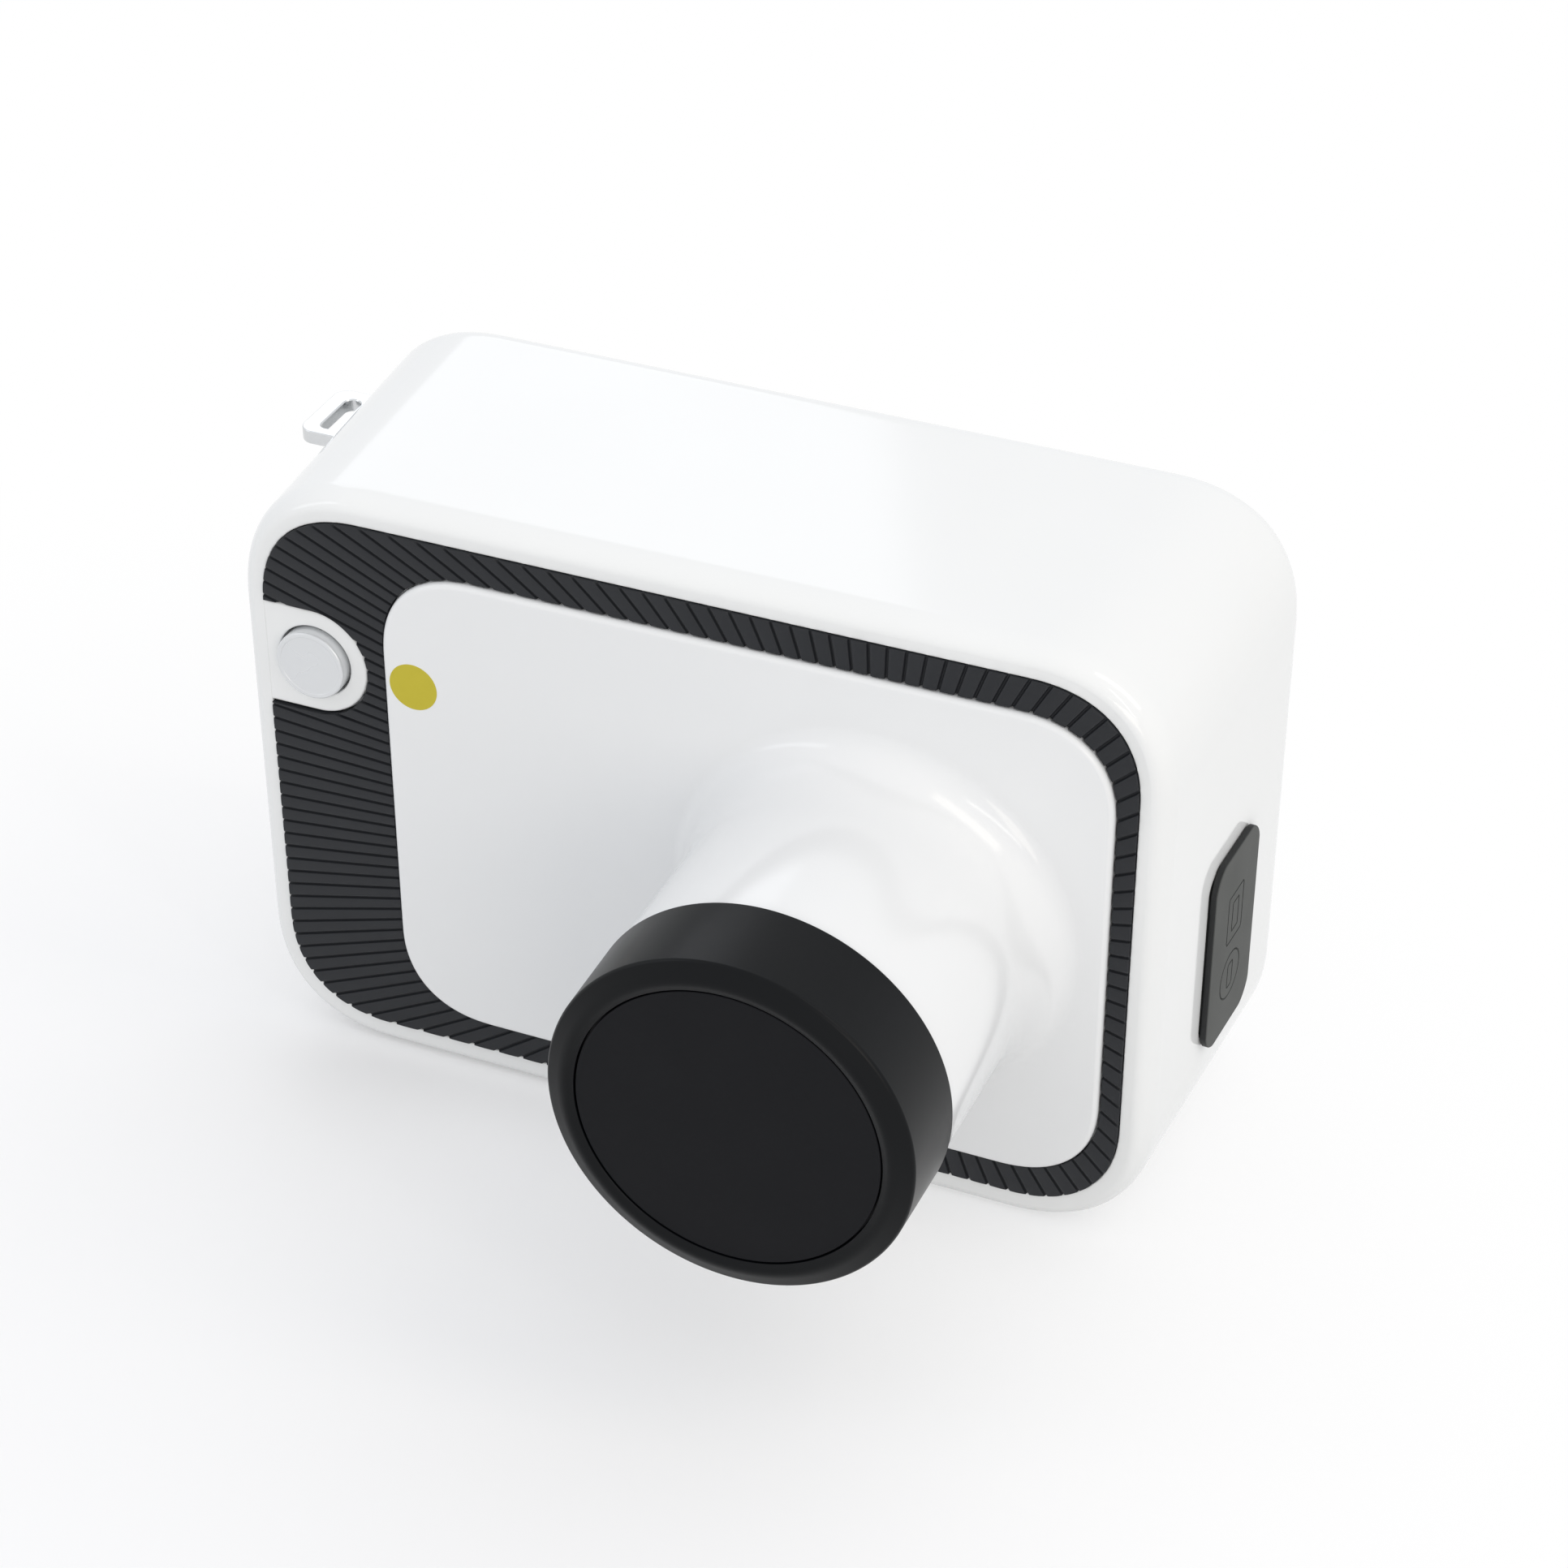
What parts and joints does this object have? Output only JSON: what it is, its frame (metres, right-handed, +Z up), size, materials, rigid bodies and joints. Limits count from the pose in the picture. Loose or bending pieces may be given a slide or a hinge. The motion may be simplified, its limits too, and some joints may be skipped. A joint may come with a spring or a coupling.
{
  "type": "handheld dental x-ray unit",
  "caption": "Camera-shaped handheld x-ray generator: soft white box, ribbed black front band, raised panel with a flared cone and black collimator ring, side lug.",
  "frame": {"origin": "centre of the flat base, on the surface that the unit rests on", "axes": "+X to the viewer's right as seen from the front, +Y to the rear, away from the cone, +Z up"},
  "size_m": [0.1901, 0.1352, 0.1225],
  "materials": {
    "white_shell": "glossy white moulded plastic",
    "panel_grey": "smooth pale grey moulded plastic",
    "grip_rubber": "matt charcoal rubber with fine grooves",
    "ring_black": "satin black",
    "window_black": "matt black disc that lets x-rays through",
    "button_silver": "silver satin",
    "key_grey": "matt dark grey",
    "port_rubber": "matt dark grey rubber",
    "lug_metal": "bright machined",
    "screen_glass": "glossy black screen",
    "dark_plastic": "matt black",
    "circuit_board": "green circuit board",
    "battery_wrap": "blue shrink wrap",
    "aluminium": "plain",
    "brass": "plain",
    "copper": "copper",
    "steel": "zinc plated",
    "lead": "dull lead",
    "tube_glass": "clear"
  },
  "bodies": {
    "unit": {"main_housing": "white_shell", "rear_cover": "white_shell", "grip_band": "grip_rubber", "front_panel": "panel_grey", "collimator_ring": "ring_black", "exit_window": "window_black", "button_switch": "dark_plastic", "button_board": "circuit_board", "cone_liner": "lead", "collimator_diaphragm": "brass", "beam_filter": "aluminium", "tank_body": "aluminium", "tank_lid": "aluminium", "tank_window": "dark_plastic", "lead_shield": "lead", "tube_envelope": "tube_glass", "tube_anode": "copper", "tube_cathode": "steel", "tube_cradle": "dark_plastic", "hv_transformer": "copper", "hv_multiplier": "circuit_board", "main_board": "circuit_board", "buzzer": "dark_plastic", "battery_pack": "battery_wrap", "battery_bracket": "steel", "display_glass": "screen_glass", "display_module": "dark_plastic", "keypad_board": "circuit_board", "port_board": "circuit_board", "charging_socket": "dark_plastic", "data_socket": "steel", "strap_lug": "lug_metal", "lug_screw_front": "steel", "lug_screw_back": "steel", "rear_screw_low_left": "steel", "rear_screw_low_right": "steel", "rear_screw_high_left": "steel", "rear_screw_high_right": "steel", "tripod_insert": "brass"},
    "exposure_button": {"exposure_button": "button_silver"},
    "key_power": {"key_power": "key_grey"},
    "key_up": {"key_up": "key_grey"},
    "key_down": {"key_down": "key_grey"},
    "key_mode": {"key_mode": "key_grey"},
    "port_cover": {"port_cover": "port_rubber"}
  },
  "joints": [
    {"name": "exposure_press", "type": "slide", "parent": "unit", "child": "exposure_button", "axis": [0, 1, 0], "range_m": [0, 0.0012], "stiffness_N_per_m": 1500, "springref_m": -0.0005},
    {"name": "power_press", "type": "slide", "parent": "unit", "child": "key_power", "axis": [0, -1, 0], "range_m": [0, 0.0008], "stiffness_N_per_m": 1200, "springref_m": -0.0004},
    {"name": "up_press", "type": "slide", "parent": "unit", "child": "key_up", "axis": [0, -1, 0], "range_m": [0, 0.0008], "stiffness_N_per_m": 1200, "springref_m": -0.0004},
    {"name": "down_press", "type": "slide", "parent": "unit", "child": "key_down", "axis": [0, -1, 0], "range_m": [0, 0.0008], "stiffness_N_per_m": 1200, "springref_m": -0.0004},
    {"name": "mode_press", "type": "slide", "parent": "unit", "child": "key_mode", "axis": [0, -1, 0], "range_m": [0, 0.0008], "stiffness_N_per_m": 1200, "springref_m": -0.0004},
    {"name": "port_cover_swing", "type": "hinge", "parent": "unit", "child": "port_cover", "pos_m": [0.09069, -0.0103, 0.0468], "axis": [0, 0, -1], "range_deg": [0, 110]}
  ]
}
